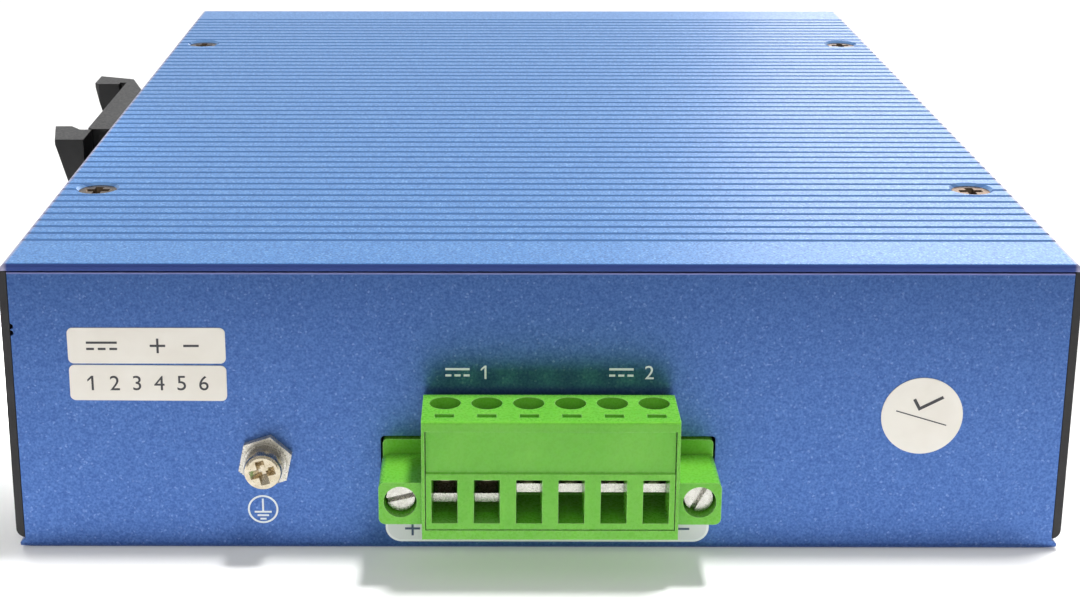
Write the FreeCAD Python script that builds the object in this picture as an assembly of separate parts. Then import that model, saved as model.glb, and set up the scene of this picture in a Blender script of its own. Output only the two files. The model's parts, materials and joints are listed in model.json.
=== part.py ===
import FreeCAD, Part
import math
import os

# Power over ethernet switch lying on its plain side.
# Millimetres. X runs from the rear (rail clip) to the front (ports), Y from the terminal end
# to the far end, Z up. The origin is the centre of the underside.

Vec = FreeCAD.Vector
ALONG_X = Vec(1, 0, 0)
ALONG_Y = Vec(0, 1, 0)
ALONG_Z = Vec(0, 0, 1)

# How far a cutter runs past what it cuts
past = 1.0

# Case
case_length = 165.0
case_width = 132.0
case_height = 38.0
wall_thickness = 2.0
floor_thickness = 1.5
cover_thickness = 2.2
cover_lip = 0.9
seam_gap = 0.2
running_gap = 0.1
cover_inset = 0.3
cover_edge_round = 0.4
cover_end_bevel = 0.5
floor_lip_run = 0.65
floor_lip_height = 1.3
floor_lip_chamfer = 0.45
floor_bevel_run = 2.4
floor_bevel_rise = 0.4
floor_edge_round = 0.9
channel_corner = 0.8
edge_nick_radius = 0.35
edge_nick_spacing = 0.85
nick_top_distance = 8.5

# Ribs of the cover
groove_pitch = 2.86
groove_end_margin = 9.5
groove_top_width = 0.85
groove_floor_width = 0.45
groove_depth = 0.6

# Folded end panels
panel_sheet = 1.0
panel_bend = 1.2
panel_flange = 9.0
ear_round = 0.4

# Countersunk case screws
screw_edge_distance = 5.5
screw_end_distance = 33.2
screw_thread_radius = 1.45
screw_hole_radius = 1.6
screw_tap_radius = 1.5
screw_head_radius = 2.6
countersink_radius = 3.0
screw_length = 4.4
seat_gap = 0.03
recess_span = 3.2
recess_width = 1.1
recess_foot_span = 1.2
recess_foot_width = 0.5
recess_depth = 1.0

# Rail clip
rail_width = 35.4
rail_flange_gap = 1.2
clip_base = 8.1
clip_stand_out = 13.9
clip_width = 26.0
clip_centre = 24.3
clip_chamfer = 0.8
hook_tip = 2.8
hook_notch_depth = 2.0
hook_notch_run = 7.0
hook_notch_margin = 0.8
fixed_hook_overlap = 1.2
fixed_hook_length = 5.5
fixed_hook_lean = 2.6
fixed_hook_foot = 11.5
arm_root_out = 4.2
latch_head_foot = 7.3
latch_head_length = 6.8
latch_lip = 2.3
latch_slant = 1.9
latch_gap = 0.3
latch_bar_width = 12.0
latch_bar_thickness = 3.1
latch_bar_reach = 17.5
latch_bar_gap = 0.2
latch_eye_length = 2.0
latch_eye_width = 7.0
latch_spring_length = 13.0
spring_strip = 0.5
spring_folds = 8
spring_side_gap = 1.2
clip_screw_spread = 18.6
clip_head_radius = 2.75
clip_head_height = 2.2
clip_head_sink = 0.8
clip_head_gap = 0.2
clip_screw_end = 3.2
nut_flats = 5.5
nut_height = 2.3

# Board
board_thickness = 1.6
board_corner = 1.5
board_margin = 1.5
board_wall_gap = 0.5
spacer_height = 3.5
spacer_flats = 5.0
spacer_clearance = 0.5
spacer_end_distance = 10.0
board_head_radius = 2.6
board_head_height = 1.8
board_screw_rise = 0.5

# Power terminal
terminal_x = 1.15
pole_count = 6
pole_pitch = 5.08
pole_wall = 1.0
window_side_gap = 0.15
window_edge_gap = 0.4
window_corner = 0.5
header_height = 8.5
header_depth = 12.0
header_wall = 0.8
header_stand_out = 0.1
header_round = 0.6
insert_bore_radius = 1.2
insert_length = 5.5
flange_reach = 5.25
pin_side = 1.0
pin_gap = 0.05
pin_tail = 0.9
pin_bend_back = 1.3
pin_tip_setback = 2.0
mate_axis_height = 4.1
plug_front = 9.8
plug_back = 1.2
plug_shoulder = 0.4
plug_shoulder_rise = 4.4
plug_end_wall = 0.2
plug_below_axis = 4.4
plug_above_axis = 10.9
plug_rim = 0.4
plug_lower_rim = 1.2
plug_upper_rim = 1.3
plug_edge_round = 0.25
frame_depth = 3.3
frame_gap = 0.1
frame_step = 0.35
field_above_axis = 4.1
flange_front = 8.7
flange_half_height = 2.73
flange_drop = 0.2
flange_corner = 0.8
flange_screw_radius = 1.75
flange_shank_radius = 1.15
flange_hole_radius = 2.0
flange_screw_sink = 1.3
flange_head_length = 3.0
flange_screw_reach = 5.0
flange_slot_width = 0.6
flange_slot_depth = 0.8
flange_slot_turns = (14, 62)
nose_length = 8.3
nose_half_height = 3.15
nose_gap = 0.2
clamp_axis = 4.0
clamp_hole_radius = 1.9
clamp_thread_radius = 1.45
clamp_head_radius = 1.75
clamp_head_sink = 2.1
clamp_head_height = 1.2
clamp_slot_width = 0.6
clamp_slot_depth = 0.7
test_slot_width = 2.3
test_slot_length = 1.0
test_slot_depth = 1.6
test_slot_setback = 1.4
cage_gap = 0.1
cage_wall = 0.4
cage_floor = 1.15
cage_roof = 1.4
cage_height = 7.1
cage_travel = 2.5
cage_lowered = 1.3
entry_width = 3.15
entry_taper = 0.15
entry_height = 5.65
entry_floor_below_axis = 2.3
contact_bar_width = 2.0
contact_bar_thickness = 0.6
contact_bar_reach = 5.7
contact_shell_width = 2.6
contact_shell_drop = 1.55
contact_shell_setback = 2.0

# Earth terminal
earth_rear_distance = 31.9
earth_z = 12.2
earth_nut_flats = 6.1
earth_nut_height = 0.9
earth_nut_turn = 18.0
earth_thread_radius = 1.45
earth_head_radius = 2.35
earth_head_height = 1.5
earth_head_flat_radius = 1.95
earth_head_shoulder_radius = 2.25
earth_head_shoulder_drop = 0.15
earth_head_edge_drop = 0.45
earth_screw_end = 4.2
earth_screw_turn = -14.0
flat_washer_radius = 2.7
flat_washer_height = 0.6
split_washer_radius = 2.4
split_washer_height = 0.8
split_washer_gap = 0.5
split_washer_turn = 140.0
washer_bore_radius = 1.6

# Stickers
sticker_height = 0.1
sticker_length = 19.4
sticker_width = 4.65
sticker_gap = 0.25
sticker_corner = 0.7
sticker_tilt = 0.3
sticker_rear_distance = 17.7
sticker_top_distance = 10.55
round_sticker_radius = 5.05
round_sticker_front_distance = 18.55
round_sticker_top_distance = 19.7

# Ports
port_stand_out = 0.4
port_gap = 0.2
port_end_margin = 12.0
jack_columns = 4
jack_pitch = 13.97
jack_depth = 30.0
jack_headroom = 3.4
jack_side = 0.55
row_margin = 6.95
shield_sheet = 0.3
shield_gap = 0.05
socket_width = 11.9
socket_height = 6.9
socket_depth = 13.0
latch_notch_width = 4.2
latch_notch_height = 1.7
wire_count = 8
wire_pitch = 1.02
wire_width = 0.44
wire_thickness = 0.35
wire_length = 8.0
wire_root = 0.3
wire_rise = 1.6
cage_port_width = 14.0
cage_port_height = 9.7
cage_port_depth = 48.0
cage_port_sheet = 0.35
connector_length = 9.0
connector_height = 6.4
connector_width = 11.8
connector_chamfer = 1.2
connector_slot_height = 1.7
connector_slot_width = 9.2
connector_slot_depth = 5.0
light_block_width = 9.0
light_block_depth = 5.0
light_block_setback = 2.0
light_block_wall = 1.1
light_pipe_radius = 1.4
light_hole_gap = 0.1
light_stand_out = 0.3
light_count = 3
light_first_height = 4.2
light_pitch = 4.6
light_top_margin = 2.4
light_side = 1.4

# Parts on the board
chip_side = 20.0
chip_height = 1.8
pad_height = 0.5
pad_margin = 1.0
sink_side = 26.0
sink_base = 2.2
sink_height = 10.0
sink_fins = 7
sink_fin = 1.2
controller_side = 9.0
controller_height = 1.2
port_transformer_depth = 10.0
port_transformer_height = 6.0
port_transformer_gap = 2.5
inductor_side = 12.0
inductor_corner = 2.5
inductor_height = 6.5
can_radius = 6.3
can_height = 18.0
transformer_depth = 18.0
transformer_width = 22.0
transformer_height = 15.0
transformer_leg = 3.0
transformer_window = 3.5
part_gap = 2.0
chip_y = -6.5
controller_first_y = 27.0
controller_pitch = 17.0
inductor_first_y = -40.0
inductor_pitch = 16.8
inductor_count = 3
can_places_y = (-42.0, 29.0)
transformer_y = 32.0

# Positions that follow from the sizes above
half_length = case_length / 2
half_width = case_width / 2
panel_inner = half_width - panel_sheet
wall_end = panel_inner - running_gap
inner_wall = half_length - wall_thickness
cover_under = case_height - cover_thickness
lip_under = case_height - cover_lip
wall_top = lip_under - seam_gap
cover_step = inner_wall - 2 * running_gap
cover_half_width = half_width - cover_inset
flange_tip = half_width - panel_flange
flange_end = inner_wall - channel_corner - running_gap
screw_x = half_width - screw_edge_distance
screw_y = half_length - screw_end_distance
groove_count = int((case_length - 2 * groove_end_margin) / groove_pitch) + 1
spacer_corner = spacer_flats / math.sqrt(3)
spacer_x = flange_tip - spacer_corner - spacer_clearance
spacer_y = inner_wall - spacer_end_distance
board_under = floor_thickness + spacer_height
board_top = board_under + board_thickness
board_front_x = panel_inner - board_margin
board_rear_x = -panel_inner + clip_screw_end + board_margin
board_edge_y = inner_wall - board_wall_gap
axis_z = board_top + mate_axis_height
plug_bottom = axis_z - plug_below_axis
plug_top = axis_z + plug_above_axis
plug_half = pole_count * pole_pitch / 2 + plug_end_wall
flange_outer = plug_half + flange_reach
flange_middle = plug_half + flange_reach / 2
header_top = board_top + header_height
header_back = header_stand_out - header_depth
pin_bend = header_back - pin_bend_back
chamber_back = plug_back + plug_rim
chamber_front = plug_front - frame_depth
chamber_half = (pole_pitch - pole_wall) / 2
entry_floor = axis_z - entry_floor_below_axis
chamber_floor = entry_floor - cage_gap
chamber_roof = plug_top - clamp_head_sink - clamp_head_height - cage_gap
cage_bottom = entry_floor + cage_travel
contact_bar_under = cage_bottom + cage_floor + pin_gap
contact_bar_top = contact_bar_under + contact_bar_thickness
earth_x = earth_rear_distance - half_width
sticker_x = sticker_rear_distance - half_width
sticker_upper_z = case_height - sticker_top_distance
sticker_lower_z = sticker_upper_z - sticker_width - sticker_gap
jack_width = jack_columns * jack_pitch + 2 * jack_side
jack_height = cover_under - board_top - jack_headroom
row_low = board_top + row_margin
row_high = board_top + jack_height - row_margin
port_front = half_width + port_stand_out
jack_back = port_front - jack_depth
cage_port_back = port_front - cage_port_depth
light_back = panel_inner - light_block_setback - light_block_depth
clip_near_root = clip_centre - rail_width / 2
clip_far_root = clip_centre + rail_width / 2
clip_middle_z = case_height / 2
hook_lip_out = clip_base + rail_flange_gap
chip_x = cage_port_back - part_gap - sink_side / 2
transformer_x = chip_x - sink_side / 2 - part_gap - transformer_depth / 2
can_x = transformer_x - transformer_depth / 2 - part_gap - can_radius


# Small helpers for shapes

def about(centre, half):
    return (centre - half, centre + half)


def box(x_range, y_range, z_range):
    size = (x_range[1] - x_range[0], y_range[1] - y_range[0], z_range[1] - z_range[0])
    return Part.makeBox(size[0], size[1], size[2], Vec(x_range[0], y_range[0], z_range[0]))


def prism(points, sweep):
    wire = Part.makePolygon(points + [points[0]])
    return Part.Face(wire).extrude(sweep)


def profile_x(points, x_range):
    corners = [Vec(x_range[0], y, z) for y, z in points]
    return prism(corners, Vec(x_range[1] - x_range[0], 0, 0))


def profile_y(points, y_range):
    corners = [Vec(x, y_range[0], z) for x, z in points]
    return prism(corners, Vec(0, y_range[1] - y_range[0], 0))


def profile_z(points, z_range):
    corners = [Vec(x, y, z_range[0]) for x, y in points]
    return prism(corners, Vec(0, 0, z_range[1] - z_range[0]))


def placed(solid, place, direction):
    """Move a solid made at the origin along Z to its place and direction."""
    moved = solid.copy()
    turn = FreeCAD.Rotation(ALONG_Z, direction)
    moved.Placement = FreeCAD.Placement(place, turn).multiply(moved.Placement)
    return moved


def turned(points, place, direction):
    """A solid of revolution from (radius, height) points, with its axis along direction."""
    corners = [Vec(radius, 0, height) for radius, height in points]
    wire = Part.makePolygon(corners + [corners[0]])
    solid = Part.Face(wire).revolve(Vec(0, 0, 0), ALONG_Z, 360)
    return placed(solid, place, direction)


def rod(radius, start, sweep):
    return Part.makeCylinder(radius, sweep.Length, start, sweep)


def joined(solids):
    return solids[0].multiFuse(solids[1:]).removeSplitter()


def along(edge, direction):
    if not isinstance(edge.Curve, Part.Line):
        return False
    return abs(edge.tangentAt(edge.FirstParameter).dot(direction)) > 0.999


def same(one, other):
    return abs(one - other) < 0.01


def rounded(solid, radius, direction, test):
    """Fillet the straight edges along one direction whose middle passes the test."""
    edges = [edge for edge in solid.Edges if along(edge, direction) and test(edge.CenterOfMass)]
    return solid.makeFillet(radius, edges)


def mirrored_x(solid):
    return solid.mirror(Vec(0, 0, 0), ALONG_X)


def ahead(distance):
    """Y of a point that stands this far out from the terminal end of the case."""
    return -half_length - distance


def between(out, back):
    """Y range between two distances from the terminal end of the case."""
    return (ahead(out), ahead(back))


def behind(distance):
    """X of a point that stands this far out from the rear panel."""
    return -half_width - distance


def save(node, *solids):
    shape = solids[0] if len(solids) == 1 else Part.makeCompound(list(solids))
    shape.exportStep("parts/" + node + ".step")


# Fasteners

def slot_outline(length, width, height):
    corners = [
        Vec(-length / 2, -width / 2, height),
        Vec(length / 2, -width / 2, height),
        Vec(length / 2, width / 2, height),
        Vec(-length / 2, width / 2, height),
    ]
    return Part.makePolygon(corners + [corners[0]])


def cross_recess():
    """Two crossed slots that narrow inwards, for a head with its face at zero and its body above."""
    run = 1 + past / recess_depth
    mouth_span = recess_foot_span + run * (recess_span - recess_foot_span)
    mouth_width = recess_foot_width + run * (recess_width - recess_foot_width)
    mouth = slot_outline(mouth_span, mouth_width, -past)
    foot = slot_outline(recess_foot_span, recess_foot_width, recess_depth)
    first = Part.makeLoft([mouth, foot], True, True)
    second = first.copy()
    second.rotate(Vec(0, 0, 0), ALONG_Z, 90)
    return [first, second]


def case_screw_places():
    return [(side_x * screw_x, side_y * screw_y) for side_x in (-1, 1) for side_y in (-1, 1)]


def countersink(x, y, face_z, inward):
    """Screw hole with a conical seat, cut from a face into the plate."""
    drop = countersink_radius - screw_hole_radius
    end = drop + cover_thickness + past
    points = [
        (0, -past),
        (countersink_radius, -past),
        (countersink_radius, 0),
        (screw_hole_radius, drop),
        (screw_hole_radius, end),
        (0, end),
    ]
    return turned(points, Vec(x, y, face_z), inward)


def flat_screw(x, y, face_z, inward):
    """Countersunk screw with a cross recess, sunk a little below the face."""
    sink = countersink_radius - screw_head_radius - seat_gap
    cone = screw_head_radius - screw_thread_radius
    points = [
        (0, 0),
        (screw_head_radius, 0),
        (screw_thread_radius, cone),
        (screw_thread_radius, screw_length),
        (0, screw_length),
    ]
    screw = turned(points, Vec(0, 0, 0), ALONG_Z).cut(cross_recess())
    return placed(screw, Vec(x, y, face_z) + inward * sink, inward)


def case_screws(face_z, inward):
    return [flat_screw(x, y, face_z, inward) for x, y in case_screw_places()]


def hexagon(flats):
    corner = flats / math.sqrt(3)
    angles = [math.radians(60 * turn) for turn in range(6)]
    return [(corner * math.cos(angle), corner * math.sin(angle)) for angle in angles]


def hex_nut(flats, height, bore):
    """Hex nut at the origin with its axis along Z and a corner on X."""
    hole = rod(bore, Vec(0, 0, -past), Vec(0, 0, height + 2 * past))
    return profile_z(hexagon(flats), (0, height)).cut(hole)


# Case

def edge_nicks():
    """Two small bites in the end edge of the terminal wall."""
    nicks = []
    for side in (-1, 1):
        z = case_height - nick_top_distance + side * edge_nick_spacing / 2
        start = Vec(-wall_end, ahead(past), z)
        nicks.append(rod(edge_nick_radius, start, Vec(0, wall_thickness + 2 * past, 0)))
    return nicks


def terminal_window():
    window = box(
        about(terminal_x, flange_outer + window_side_gap),
        between(past, -wall_thickness - past),
        (board_top - window_edge_gap, header_top + window_edge_gap),
    )
    return rounded(window, window_corner, ALONG_Y, lambda middle: True)


def floor_plate():
    """The floor, which runs on under the end panels as a thin bevelled lip."""
    tip = wall_end + floor_lip_run
    right = [
        (tip - floor_bevel_run, 0),
        (tip, floor_bevel_rise),
        (tip, floor_lip_height - floor_lip_chamfer),
        (tip - floor_lip_chamfer, floor_lip_height),
    ]
    left = [(-x, z) for x, z in reversed(right)]
    return profile_y(right + left, (-half_length, half_length))


def floor_bevels():
    tip = wall_end + floor_lip_run
    section = [
        (tip - floor_bevel_run, 0),
        (tip + past, 0),
        (tip + past, floor_bevel_rise),
        (tip, floor_bevel_rise),
    ]
    wedge = profile_y(section, (-half_length - past, half_length + past))
    return [wedge, mirrored_x(wedge)]


def base_channel():
    section = [
        (-half_length, 0),
        (half_length, 0),
        (half_length, wall_top),
        (inner_wall, wall_top),
        (inner_wall, floor_thickness),
        (-inner_wall, floor_thickness),
        (-inner_wall, wall_top),
        (-half_length, wall_top),
    ]
    channel = profile_x(section, (-wall_end, wall_end))
    channel = rounded(channel, channel_corner, ALONG_X, lambda middle: same(middle.z, floor_thickness))
    channel = joined([channel.cut(floor_bevels()), floor_plate()])
    channel = rounded(
        channel,
        floor_edge_round,
        ALONG_X,
        lambda middle: same(middle.z, 0) and same(abs(middle.y), half_length),
    )
    holes = [countersink(x, y, 0, ALONG_Z) for x, y in case_screw_places()]
    holes.append(terminal_window())
    earth_hole_start = Vec(earth_x, ahead(past), earth_z)
    holes.append(rod(washer_bore_radius, earth_hole_start, Vec(0, wall_thickness + 2 * past, 0)))
    return channel.cut(holes + edge_nicks())


def groove_centres():
    span = (groove_count - 1) * groove_pitch
    return [span / 2 - index * groove_pitch for index in range(groove_count)]


def cover_section():
    """Outline of the cover across its ribs, as (Y, Z) points."""
    section = [
        (-half_length, lip_under),
        (-cover_step, lip_under),
        (-cover_step, cover_under),
        (cover_step, cover_under),
        (cover_step, lip_under),
        (half_length, lip_under),
        (half_length, case_height),
    ]
    for centre in groove_centres():
        section.append((centre + groove_top_width / 2, case_height))
        section.append((centre + groove_floor_width / 2, case_height - groove_depth))
        section.append((centre - groove_floor_width / 2, case_height - groove_depth))
        section.append((centre - groove_top_width / 2, case_height))
    section.append((-half_length, case_height))
    return section


def top_cover():
    cover = profile_x(cover_section(), (-cover_half_width, cover_half_width))
    cover = rounded(
        cover,
        cover_edge_round,
        ALONG_X,
        lambda middle: same(middle.z, case_height) and same(abs(middle.y), half_length),
    )
    bevel = [
        (cover_half_width - cover_end_bevel, case_height),
        (cover_half_width - cover_end_bevel, case_height + past),
        (cover_half_width + past, case_height + past),
        (cover_half_width + past, case_height - cover_end_bevel),
        (cover_half_width, case_height - cover_end_bevel),
    ]
    wedge = profile_y(bevel, (-half_length - past, half_length + past))
    holes = [countersink(x, y, case_height, -ALONG_Z) for x, y in case_screw_places()]
    return cover.cut([wedge, mirrored_x(wedge)] + holes)


def panel_ear():
    """Tab that closes the gap between the cover's step and the corner of the case."""
    ear = box(
        (panel_inner, half_width),
        (running_gap - half_length, -cover_step - running_gap),
        (cover_under - panel_bend - panel_sheet, lip_under - running_gap),
    )
    return rounded(
        ear,
        ear_round,
        ALONG_Y,
        lambda middle: same(middle.x, half_width) and middle.z > cover_under,
    )


def folded_panel():
    """Blank end panel on the +X side: web, two flanges and the ears at its upper corners."""
    section = [
        (flange_tip, floor_thickness),
        (half_width, floor_thickness),
        (half_width, cover_under),
        (flange_tip, cover_under),
        (flange_tip, cover_under - panel_sheet),
        (panel_inner, cover_under - panel_sheet),
        (panel_inner, floor_thickness + panel_sheet),
        (flange_tip, floor_thickness + panel_sheet),
    ]
    web_end = half_length - running_gap
    panel = profile_y(section, (-web_end, web_end))
    panel = rounded(panel, panel_bend, ALONG_Y, lambda middle: same(middle.x, half_width))
    ear = panel_ear()
    panel = joined([panel, ear, ear.mirror(Vec(0, 0, 0), ALONG_Y)])
    cuts = []
    for side in (-1, 1):
        span = sorted((side * flange_end, side * (half_length + past)))
        cuts.append(box((flange_tip - past, panel_inner), span, (0, case_height)))
        cuts.append(rod(screw_tap_radius, Vec(screw_x, side * screw_y, 0), Vec(0, 0, case_height)))
    return panel.cut(cuts)


# Rail clip

def clip_screw_places():
    return [Vec(0, clip_centre, clip_middle_z + side * clip_screw_spread / 2) for side in (-1, 1)]


def clip_section(points, width):
    """Extrude a clip outline given as (distance from the panel, Y) along Z."""
    return profile_z([(behind(out), y) for out, y in points], about(clip_middle_z, width / 2))


def hook_notch(start, end):
    """Flat-floored valley along the back of a hook, between two (distance from the panel, Y) points."""
    reach = clip_width / 2 - hook_notch_margin
    floor = reach - hook_notch_run
    outline = [
        (past, -reach),
        (0, -reach),
        (-hook_notch_depth, -floor),
        (-hook_notch_depth, floor),
        (0, reach),
        (past, reach),
    ]
    corners = [Vec(behind(start[0] + out), start[1], clip_middle_z + z) for out, z in outline]
    return prism(corners, Vec(start[0] - end[0], end[1] - start[1], 0))


def din_clip_body():
    """Base of the clip with its leaning fixed hook and the channel for the latch bar."""
    near_end = clip_near_root + latch_gap
    far_end = clip_far_root + fixed_hook_length
    lip_end = clip_far_root - fixed_hook_overlap
    outline = [
        (0, near_end),
        (clip_base - clip_chamfer, near_end),
        (clip_base, near_end + clip_chamfer),
        (clip_base, clip_far_root),
        (hook_lip_out, clip_far_root),
        (hook_lip_out, lip_end),
        (clip_stand_out - clip_chamfer, lip_end),
        (clip_stand_out, lip_end + clip_chamfer),
        (clip_stand_out, far_end),
        (latch_head_foot, far_end - fixed_hook_lean),
        (arm_root_out, far_end - fixed_hook_foot),
        (0, far_end - fixed_hook_foot),
    ]
    body = clip_section(outline, clip_width)
    channel = box(
        (behind(latch_bar_thickness + latch_bar_gap), behind(-past)),
        (near_end - past, clip_near_root + latch_bar_reach + latch_spring_length),
        about(clip_middle_z, latch_bar_width / 2 + latch_bar_gap),
    )
    notch = hook_notch((clip_stand_out, lip_end - past), (clip_stand_out, far_end + past))
    cuts = [channel, notch]
    for place in clip_screw_places():
        start = Vec(behind(clip_base + past), place.y, place.z)
        head_depth = past + clip_head_sink + clip_head_height
        cuts.append(rod(clip_head_radius + clip_head_gap, start, Vec(head_depth, 0, 0)))
        cuts.append(rod(screw_hole_radius, start, Vec(clip_base + 2 * past, 0, 0)))
    return body.cut(cuts)


def din_latch():
    """Sliding latch: a wide hooked head on a narrow arm, with a bar that runs into the base."""
    front = clip_near_root - latch_head_length
    tip = clip_near_root + latch_lip
    outline = [
        (latch_head_foot, front),
        (clip_stand_out - latch_slant, front),
        (clip_stand_out, tip),
        (clip_stand_out - hook_tip, tip),
        (hook_lip_out, clip_near_root),
        (latch_head_foot, clip_near_root),
    ]
    rise = past * latch_slant / (tip - front)
    notch_start = (clip_stand_out - latch_slant - rise, front - past)
    notch = hook_notch(notch_start, (clip_stand_out + rise, tip + past))
    head = clip_section(outline, clip_width).cut(notch)
    width = about(clip_middle_z, latch_bar_width / 2)
    arm = box((behind(latch_head_foot), behind(running_gap)), (front, clip_near_root), width)
    bar = box(
        (behind(latch_bar_thickness), behind(running_gap)),
        (clip_near_root, clip_near_root + latch_bar_reach),
        width,
    )
    eye_middle = clip_near_root - latch_head_length / 2
    eye = box(
        (behind(clip_stand_out + past), behind(-past)),
        about(eye_middle, latch_eye_length / 2),
        about(clip_middle_z, latch_eye_width / 2),
    )
    return joined([head, arm, bar]).cut(eye)


def din_latch_spring():
    """Stamped flat serpentine spring between the latch bar and the end of its channel."""
    start = clip_near_root + latch_bar_reach
    step = (latch_spring_length - spring_strip) / spring_folds
    swing = latch_bar_width / 2 - spring_side_gap
    depth = (behind(latch_bar_thickness - spring_strip), behind(spring_strip))
    pieces = []
    for index in range(spring_folds + 1):
        y = start + index * step
        pieces.append(box(depth, (y, y + spring_strip), about(clip_middle_z, swing)))
        if index < spring_folds:
            side = 1 if index % 2 else -1
            edge = clip_middle_z + side * swing
            turn = tuple(sorted((edge, edge - side * spring_strip)))
            pieces.append(box(depth, (y, y + step + spring_strip), turn))
    return joined(pieces)


def clip_screw(place):
    head_out = clip_base - clip_head_sink
    length = head_out + panel_sheet + clip_screw_end
    points = [
        (0, 0),
        (clip_head_radius, 0),
        (clip_head_radius, clip_head_height),
        (screw_thread_radius, clip_head_height),
        (screw_thread_radius, length),
        (0, length),
    ]
    screw = turned(points, Vec(0, 0, 0), ALONG_Z).cut(cross_recess())
    return placed(screw, Vec(behind(head_out), place.y, place.z), ALONG_X)


def clip_nuts():
    nut = hex_nut(nut_flats, nut_height, screw_tap_radius)
    return [placed(nut, Vec(-panel_inner, place.y, place.z), ALONG_X) for place in clip_screw_places()]


def rear_panel():
    through = Vec(panel_sheet + 2 * past, 0, 0)
    starts = [Vec(behind(past), place.y, place.z) for place in clip_screw_places()]
    return mirrored_x(folded_panel()).cut([rod(screw_hole_radius, start, through) for start in starts])


# Earth terminal

def earth_place(out):
    return Vec(earth_x, ahead(out), earth_z)


def earth_nut():
    nut = hex_nut(earth_nut_flats, earth_nut_height, screw_tap_radius)
    nut.rotate(Vec(0, 0, 0), ALONG_Z, earth_nut_turn)
    return placed(nut, earth_place(0), -ALONG_Y)


def washer(out, radius, height):
    points = [
        (washer_bore_radius, 0),
        (radius, 0),
        (radius, height),
        (washer_bore_radius, height),
    ]
    return turned(points, earth_place(out), -ALONG_Y)


def split_washer(out):
    ring = washer(out, split_washer_radius, split_washer_height)
    gap = box(
        (earth_x, earth_x + split_washer_radius + past),
        between(out + split_washer_height + past, out - past),
        about(earth_z, split_washer_gap / 2),
    )
    gap.rotate(earth_place(out), ALONG_Y, split_washer_turn)
    return ring.cut(gap)


def earth_screw():
    """Domed head with a cross recess, over the washers and the outer nut."""
    head_under = earth_nut_height + flat_washer_height + split_washer_height
    end = earth_head_height + head_under + wall_thickness + earth_screw_end
    points = [
        (0, 0),
        (earth_head_flat_radius, 0),
        (earth_head_shoulder_radius, earth_head_shoulder_drop),
        (earth_head_radius, earth_head_edge_drop),
        (earth_head_radius, earth_head_height),
        (earth_thread_radius, earth_head_height),
        (earth_thread_radius, end),
        (0, end),
    ]
    screw = turned(points, Vec(0, 0, 0), ALONG_Z).cut(cross_recess())
    screw.rotate(Vec(0, 0, 0), ALONG_Z, earth_screw_turn)
    return placed(screw, earth_place(head_under + earth_head_height), ALONG_Y)


def earth_inner_nut():
    return placed(hex_nut(nut_flats, nut_height, screw_tap_radius), earth_place(-wall_thickness), ALONG_Y)


# Power terminal

def pole_centres():
    first = terminal_x - (pole_count - 1) * pole_pitch / 2
    return [first + index * pole_pitch for index in range(pole_count)]


def flange_centres():
    return [terminal_x - flange_middle, terminal_x + flange_middle]


def terminal_header():
    body = box(
        about(terminal_x, flange_outer - running_gap),
        between(header_stand_out, header_back),
        (board_top, header_top),
    )
    body = rounded(body, header_round, ALONG_Y, lambda middle: same(middle.z, header_top))
    cuts = [box(
        about(terminal_x, plug_half + nose_gap),
        between(past, header_stand_out - nose_length),
        (board_top + header_wall, header_top - header_wall),
    )]
    pin_half = pin_side / 2 + pin_gap
    for x in pole_centres():
        cuts.append(box(about(x, pin_half), between(0, header_back - past), about(axis_z, pin_half)))
    bore = Vec(0, past + plug_shoulder + insert_length, 0)
    for x in flange_centres():
        cuts.append(rod(flange_hole_radius, Vec(x, ahead(past), axis_z), bore))
    return body.cut(cuts)


def header_pins():
    half = pin_side / 2
    tail_end = board_under - pin_tail
    outline = [
        (ahead(-pin_tip_setback), axis_z - half),
        (ahead(-pin_tip_setback), axis_z + half),
        (ahead(pin_bend - half), axis_z + half),
        (ahead(pin_bend - half), tail_end),
        (ahead(pin_bend + half), tail_end),
        (ahead(pin_bend + half), axis_z - half),
    ]
    return [profile_x(outline, about(x, half)) for x in pole_centres()]


def header_inserts():
    points = [
        (insert_bore_radius, 0),
        (flange_hole_radius, 0),
        (flange_hole_radius, insert_length),
        (insert_bore_radius, insert_length),
    ]
    return [turned(points, Vec(x, ahead(-plug_shoulder), axis_z), ALONG_Y) for x in flange_centres()]


def plug_flange(x):
    middle_z = axis_z - flange_drop
    outward = 1 if x > terminal_x else -1
    inner_edge = x - outward * (flange_reach / 2 + running_gap)
    outer_edge = x + outward * flange_reach / 2
    block = box(
        tuple(sorted((inner_edge, outer_edge))),
        between(flange_front, plug_shoulder),
        about(middle_z, flange_half_height),
    )
    return rounded(block, flange_corner, ALONG_Y, lambda middle: same(middle.x, outer_edge))


def plug_core():
    nose_end = plug_shoulder - nose_length
    shoulder_top = axis_z + plug_shoulder_rise
    outline = [
        (ahead(plug_front), plug_bottom),
        (ahead(plug_front), plug_top),
        (ahead(plug_back), plug_top),
        (ahead(plug_back), shoulder_top),
        (ahead(plug_shoulder), shoulder_top),
        (ahead(plug_shoulder), axis_z + nose_half_height),
        (ahead(nose_end), axis_z + nose_half_height),
        (ahead(nose_end), axis_z - nose_half_height),
        (ahead(plug_shoulder), axis_z - nose_half_height),
        (ahead(plug_shoulder), plug_bottom),
    ]
    core = profile_x(outline, about(terminal_x, plug_half))
    return rounded(core, plug_edge_round, ALONG_X, lambda middle: same(middle.z, plug_top))


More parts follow.
